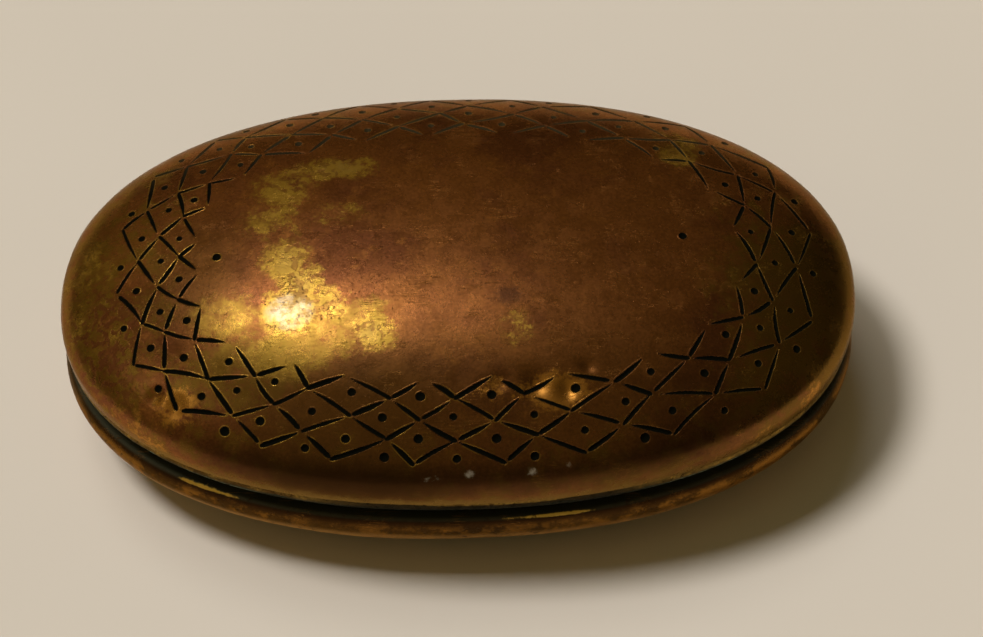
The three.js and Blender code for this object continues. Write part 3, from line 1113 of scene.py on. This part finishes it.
def lid_metal():
    """Brown patina, rubbed to yellow brass in patches, with grime in the cuts and painted glints on burrs
    and scuffs.
    """
    material, shader, at = new_material("patinated_lid_metal")
    x, y, z = at.split()
    outside = at.stored("outside")
    worn = at.patches(BRASS_PATCHES) * outside
    thinned_and_sheen = at.patches(HAZE_AND_SHEEN_PATCHES) * outside
    colour = lid_tones(at, x, y, z, worn | thinned_and_sheen)
    colour = outside.ramp(0.0, 1.0, 0.6, 0.0).mix(colour, LID_DUSK)
    stain = at.effect("ragged", at.patches(STAINS), 0.3, 1.0)
    colour = (stain * 0.6).mix(colour, DARK_STAIN)
    colour, shoulder = rim_tones(at, x, y, z, colour)
    rubbed = at.effect("ragged", worn, 0.16, 1.4)
    colour = (rubbed * 0.85).mix(colour, BRASS_RUB_AND_GLINT)
    pitted = worn.ramp(0.3, 0.6) * worn.ramp(0.8, 1.0, 0.5, 0.25)
    pits = at.effect("specks", 1.3, 0.54) * (pitted | at.patches(CRUSTY_PLACES) * outside)
    colour = pits.mix(colour, LID_UMBER)
    # Copper scuffs, partly painted glints
    scuffs_and_glints = at.effect("ragged", at.patches(COPPER_AND_GLINT_PATCHES) * outside, 0.2, 1.8)
    colour = (scuffs_and_glints * 0.8).mix(colour, COPPER_RUB_AND_GLINT)
    dark_specks = at.effect("specks", 2.6, 0.7)
    colour = (dark_specks * 0.3).mix(colour, DARK_STAIN)
    lines = at.effect("hairlines", 0.5)
    colour = (lines * 0.3).mix(colour, COPPER_RUB_AND_GLINT)
    lime = at.effect("ragged", at.patches(LIME_SPOTS) * outside, 0.3, 1.6) * 0.6
    colour = lime.mix(colour, LIME_BLOOM)

    cut_edge = at.stored("cut") + (at.cloud(2.6, 3.0) - 0.5) * 0.12
    inside_cut = cut_edge.ramp(0.035, -0.02)
    burr = cut_edge.ramp(0.02, 0.06) * cut_edge.ramp(0.16, 0.09)
    # Painted highlights: the burrs beside the cuts lit in patches, most towards the left
    glint_spread = at.cloud(0.35, 4.0, 0.6).ramp(0.47, 0.58)
    lip_glint = burr * glint_spread * x.ramp(24.0, -14.0, 0.15, 0.66)
    colour = lip_glint.mix(colour, BRASS_RUB_AND_GLINT)
    colour = inside_cut.mix(colour, y.ramp(10.0, 19.0, 0.0, 0.35).mix(CUT_GRIME_AND_GAP_SHADE, CUT_DUST))

    rough = at.cloud(0.5, 5.0, 0.65).ramp(0.3, 0.7, 0.22, 0.32) + shoulder * 0.12
    rough = rough + worn.ramp(0.5, 1.0, 0.0, 0.05) - lip_glint * 0.1 + dark_specks * 0.15 + lime * 0.4
    polish = worn.ramp(0.55, 1.05) * pits.ramp(0.0, 0.3, 1.0, 0.6)
    polish = polish * at.cloud(0.9, 5.0, 0.7).ramp(0.37, 0.62, 0.15, 1.0) * (1.0 - inside_cut)
    values = {
        "Base Color": colour,
        "Roughness": (rough + inside_cut * 0.5).clamped(),
        "Metallic": (inside_cut | lime).ramp(0.0, 1.0, 1.0, 0.0),
        "Specular IOR Level": 0.0,
        "Coat Weight": polish,
        "Coat Roughness": 0.18,
        "Coat IOR": 1.8,
    }
    feed(shader, values)
    height = at.cloud(1.4, 7.0, 0.72) * 0.34 + burr * 0.3 - inside_cut * 0.9
    relief(shader, height - dark_specks * 0.15 - pits * 0.3 - lines * 0.2, 0.05)
    return material


def band_metal():
    """Strip rubbed yellow, with dark pits, tarnished edges that are partly painted shade at the bottom, and
    a painted shadow, black, along the front of the lower edge.
    """
    material, shader, at = new_material("rubbed_band_metal")
    x, y, z = at.split()
    low, high = heights("lid_edge_band")
    colour = at.effect("mottled_patina", BAND_YELLOW, BAND_BROWN, BRASS_RUB_AND_GLINT, 0.13, 0.8)
    pits = at.effect("specks", 2.4, 0.6)
    colour = pits.mix(colour, BAND_BROWN)
    # Tarnish at both edges, partly painted shade along the lower edge
    tarnish_and_shade = z.ramp(low + 0.7, low) | z.ramp(high - 0.2, high)
    colour = (tarnish_and_shade * 0.8).mix(colour, TARNISH)
    # Painted shadow: the lower edge painted black along the front, higher in the middle
    off_middle = abs(x - 3.0)
    height = z - off_middle.ramp(4.0, 9.0, 0.0, 0.34) + (at.cloud(0.5, 5.0, 0.7) - 0.5) * 0.5
    painted_shadow_edge = height.ramp(low + 0.8, low + 0.52) * off_middle.ramp(24.0, 12.0) * y.ramp(0.0, -10.0)
    values = {
        "Base Color": (painted_shadow_edge * 0.92).mix(colour, CUT_GRIME_AND_GAP_SHADE),
        "Metallic": (tarnish_and_shade | painted_shadow_edge).ramp(0.0, 1.0, 1.0, 0.6),
        "Roughness": at.cloud(1.2, 4.0).ramp(0.3, 0.7, 0.4, 0.6),
        "Specular IOR Level": 0.1,
    }
    feed(shader, values)
    relief(shader, at.cloud(2.2, 5.0, 0.7) - pits * 0.8, 0.05)
    return material


def base_metal():
    """Orange-brown patina rubbed on the bulge, with a pale painted reflection of the table below it,
    painted shade under the lid, tarnish at the seam and a painted glint along the shoulder.
    """
    material, shader, at = new_material("patinated_base_metal")
    x, _, z = at.split()
    colour = at.effect("mottled_patina", BASE_BROWN, BASE_DARK, BASE_ORANGE, 0.11, 0.7)
    bulge = z.ramp(6.4, 7.6) * z.ramp(9.7, 8.9)
    towards_ends = x.ramp(4.0, 26.0, 0.35, 1.0) | x.ramp(-12.0, -24.0, 0.0, 0.9)
    rub = at.cloud(0.3, 6.0, 0.7).ramp(0.46, 0.56) * bulge * towards_ends
    colour = rub.mix(colour, BASE_ORANGE)
    # Painted reflection: a pale band low on the bowl, for the lit table that it mirrors
    colour = (z.ramp(7.9, 6.4) * z.ramp(2.0, 5.0) * 0.8).mix(colour, BASE_TABLE_REFLECTION)
    # Painted shade: the top of the bowl darkened where the lid's edge overhangs it
    colour = z.ramp(8.5, 9.35, 0.0, 0.95).mix(colour, RIM_SHADE_BROWN)
    # Painted glint: a thin bright line painted along the top of the shoulder
    painted_glint = at.effect("ragged", at.patches(SHOULDER_PAINTED_GLINTS), 0.3, 1.2)
    seam_grime = z.ramp(9.35, 9.8) * (1.0 - painted_glint)
    colour = (seam_grime * 0.9).mix(colour, TARNISH)
    colour = (painted_glint * 0.9).mix(colour, PAINTED_GLINT_BRASS)
    dark_specks = at.effect("specks", 1.6, 0.64)
    colour = (dark_specks * 0.7).mix(colour, BASE_DARK)
    colour = (at.effect("hairlines", 0.7) * 0.4).mix(colour, COPPER_RUB_AND_GLINT)
    values = {
        "Base Color": (z.ramp(0.35, 0.05) * 0.5).mix(colour, COPPER_RUB_AND_GLINT),
        "Roughness": at.cloud(0.6, 5.0).ramp(0.3, 0.7, 0.34, 0.5) - rub * 0.08 + seam_grime * 0.25,
        "Metallic": seam_grime.ramp(0.0, 1.0, 1.0, 0.5),
    }
    feed(shader, values)
    relief(shader, at.cloud(1.3, 6.0, 0.7) - dark_specks * 0.5, 0.06)
    return material


def tarnished_metal(name, bloom_from, bloom_colour):
    """Dark tarnish with powdery grey-green bloom towards the ends, and painted shade, black, along the
    front.
    """
    material, shader, at = new_material(name)
    x, y, _ = at.split()
    crust = at.cloud(2.2, 4.0, 0.7).ramp(0.35, 0.65)
    towards_ends = abs(x).ramp(14.0, 32.0, 0.2, 0.75)
    bloom = at.cloud(0.45, 6.0, 0.7).ramp(bloom_from, bloom_from + 0.18) * crust * towards_ends
    # Painted shade: black along the front, where the seam's gap is unlit
    painted_front_shade = towards_ends.ramp(0.2, 0.6, 0.8, 0.0) * y.ramp(0.0, -10.0)
    values = {
        "Base Color": painted_front_shade.mix(bloom.mix(TARNISH, bloom_colour), CUT_GRIME_AND_GAP_SHADE),
        "Metallic": bloom.ramp(0.0, 1.0, 0.7, 0.1),
        "Roughness": bloom.ramp(0.0, 1.0, 0.5, 0.8),
        "Specular IOR Level": 0.2,
    }
    feed(shader, values)
    relief(shader, crust + bloom, 0.04)
    return material


def hinge_metal():
    """Drawn brass with draw lines along the tube and brown specks."""
    material, shader, at = new_material("hinge_brass_metal")
    draw = at.stretched((0.15, 5.0, 5.0)).cloud(1.0, 3.0, 0.6)
    colour = at.effect("mottled_patina", HINGE_BRASS, HINGE_BROWN, BRASS_RUB_AND_GLINT, 0.2, 0.7)
    colour = draw.ramp(0.5, 0.7, 0.0, 0.4).mix(colour, HINGE_BROWN)
    values = {
        "Base Color": (at.effect("specks", 2.0, 0.62) * 0.8).mix(colour, HINGE_BROWN),
        "Metallic": 1.0,
        "Roughness": draw.ramp(0.3, 0.7, 0.3, 0.5),
    }
    feed(shader, values)
    relief(shader, draw, 0.03)
    return material


# Stage, lights and camera

TABLE_HALF_WIDTH = 12.0
# Lamps that light the table and cast the soft shadow, but don't show in the metal: from, strength, width
TABLE_LAMP_COLOUR = (0.98, 0.985, 1.0)
TABLE_LAMPS = {
    "key_lamp": ((-0.44, 0.12, 0.89), 2.55, 16.0),
    "fill_lamp": ((-0.22, 0.385, 0.9), 0.56, 24.0),
}
# Lamps that only the metal mirrors, with nothing added to the table: from, size in metres, power
MIRRORED_LAMP_COLOUR = (1.0, 0.99, 0.88)
MIRRORED_LAMP_DISTANCE = 1.3
MIRRORED_LAMPS = {
    "sheen_lamp": ((-0.22, 0.385, 0.9), (0.13, 0.34), 1.4),
    "sheen_tail": ((-0.08, 0.385, 0.92), (0.22, 0.34), 0.34),
    "side_glow": ((-0.62, -0.05, 0.78), (0.5, 0.5), 0.34),
}
ROOM_COLOUR = (1.0, 0.86, 0.42, 1.0)
ROOM_STRENGTH = 0.26
ROOM_LEFT, ROOM_RIGHT = 1.05, 0.31
ROOM_HORIZON = 0.4


def floor_material():
    material, shader, at = new_material("beige_table")
    shade = at.cloud(0.012, 3.0, 0.5).ramp(0.3, 0.7, 0.985, 1.015)
    feed(shader, {"Base Color": shade.shade(FLOOR_BEIGE), "Roughness": 0.9, "Specular IOR Level": 0.1})
    return material


def floor():
    """A table wide enough to fill the view from low angles too."""
    half = TABLE_HALF_WIDTH
    mesh = bpy.data.meshes.new("table_top")
    corners = [(-half, -half, 0), (half, -half, 0), (half, half, 0), (-half, half, 0)]
    mesh.from_pydata(corners, [], [(0, 1, 2, 3)])
    top = bpy.data.objects.new("table_top", mesh)
    bpy.context.scene.collection.objects.link(top)
    mesh.materials.append(floor_material())


def world():
    """A dim warm room, brighter on the left, which the metal mirrors. The table fills the background."""
    room = bpy.data.worlds.new("room")
    bpy.context.scene.world = room
    room.use_nodes = True
    tree = room.node_tree
    tree.nodes.clear()
    direction = Place(tree, add_node(tree, "ShaderNodeTexCoord").outputs["Generated"])
    right, _, up = direction.split()
    level = right.ramp(-0.5, 0.7, ROOM_LEFT, ROOM_RIGHT) * up.ramp(0.0, 0.65, ROOM_HORIZON, 1.0)
    inputs = {"Color": ROOM_COLOUR, "Strength": level * ROOM_STRENGTH}
    add_node(tree, "ShaderNodeOutputWorld", {0: level.node("ShaderNodeBackground", 0, inputs)})


def add_lamp(name, kind, colour, power, direction, distance):
    """Puts a lamp in this direction from the middle of the box, turned towards it."""
    lamp = bpy.data.lights.new(name, kind)
    lamp.energy = power
    lamp.color = colour
    holder = bpy.data.objects.new(name, lamp)
    holder.rotation_mode = "QUATERNION"
    holder.rotation_quaternion = Vector(direction).to_track_quat("Z", "Y")
    holder.location = Vector(direction).normalized() * distance
    bpy.context.scene.collection.objects.link(holder)
    return holder


def lamps():
    for name, (direction, strength, width) in TABLE_LAMPS.items():
        holder = add_lamp(name, "SUN", TABLE_LAMP_COLOUR, strength, direction, 1.0)
        holder.data.angle = math.radians(width)
        holder.visible_glossy = False
    for name, (direction, size, power) in MIRRORED_LAMPS.items():
        holder = add_lamp(name, "AREA", MIRRORED_LAMP_COLOUR, power, direction, MIRRORED_LAMP_DISTANCE)
        holder.data.shape = "ELLIPSE"
        holder.data.size, holder.data.size_y = size
        holder.visible_diffuse = False


def camera():
    """The photo's camera: its aim puts the box where the photo shows it."""
    target = Vector((0, 0, WIDE_Z * MM))
    back = Vector((0, -math.cos(CAMERA_ELEVATION), math.sin(CAMERA_ELEVATION)))
    look = back.to_track_quat("Z", "Y").to_matrix()
    right = (BOX_CENTRE_PIXEL[0] - PHOTO_WIDTH / 2) / PIXELS_PER_RADIAN
    up = (PHOTO_HEIGHT / 2 - BOX_CENTRE_PIXEL[1]) / PIXELS_PER_RADIAN
    aim = Matrix.Rotation(math.atan(right), 3, "Y") @ Matrix.Rotation(-math.atan(up), 3, "X")
    turn = look @ aim @ Matrix.Rotation(-CAMERA_ROLL, 3, "Z")
    data = bpy.data.cameras.new("photo_camera")
    data.sensor_width = SENSOR_WIDTH
    data.lens = PIXELS_PER_RADIAN / PHOTO_WIDTH * SENSOR_WIDTH
    data.clip_start = 0.01
    data.clip_end = 20
    holder = bpy.data.objects.new("photo_camera", data)
    holder.rotation_mode = "QUATERNION"
    holder.location = target + back * CAMERA_DISTANCE * MM
    holder.rotation_quaternion = turn.to_quaternion()
    bpy.context.scene.collection.objects.link(holder)
    bpy.context.scene.camera = holder


def box():
    engraved_lid(lid_metal())
    edge_band(band_metal())
    rounded_base(base_metal())
    collar_finish = tarnished_metal("tarnished_collar_metal", 0.42, VERDIGRIS)
    plain_hoop("inner_collar", "base_bezel", COLLAR_INSET, COLLAR_SHEET, COLLAR_CORNER, collar_finish)
    wire_finish = tarnished_metal("verdigris_wire_metal", 0.28, VERDIGRIS_PALE)
    plain_hoop("rest_wire", "stop_wire", WIRE_INSET, WIRE_WIDTH, WIRE_CORNER, wire_finish)
    hinge(hinge_metal())


box()
floor()
world()
lamps()
camera()
bpy.context.scene.view_settings.view_transform = "Standard"
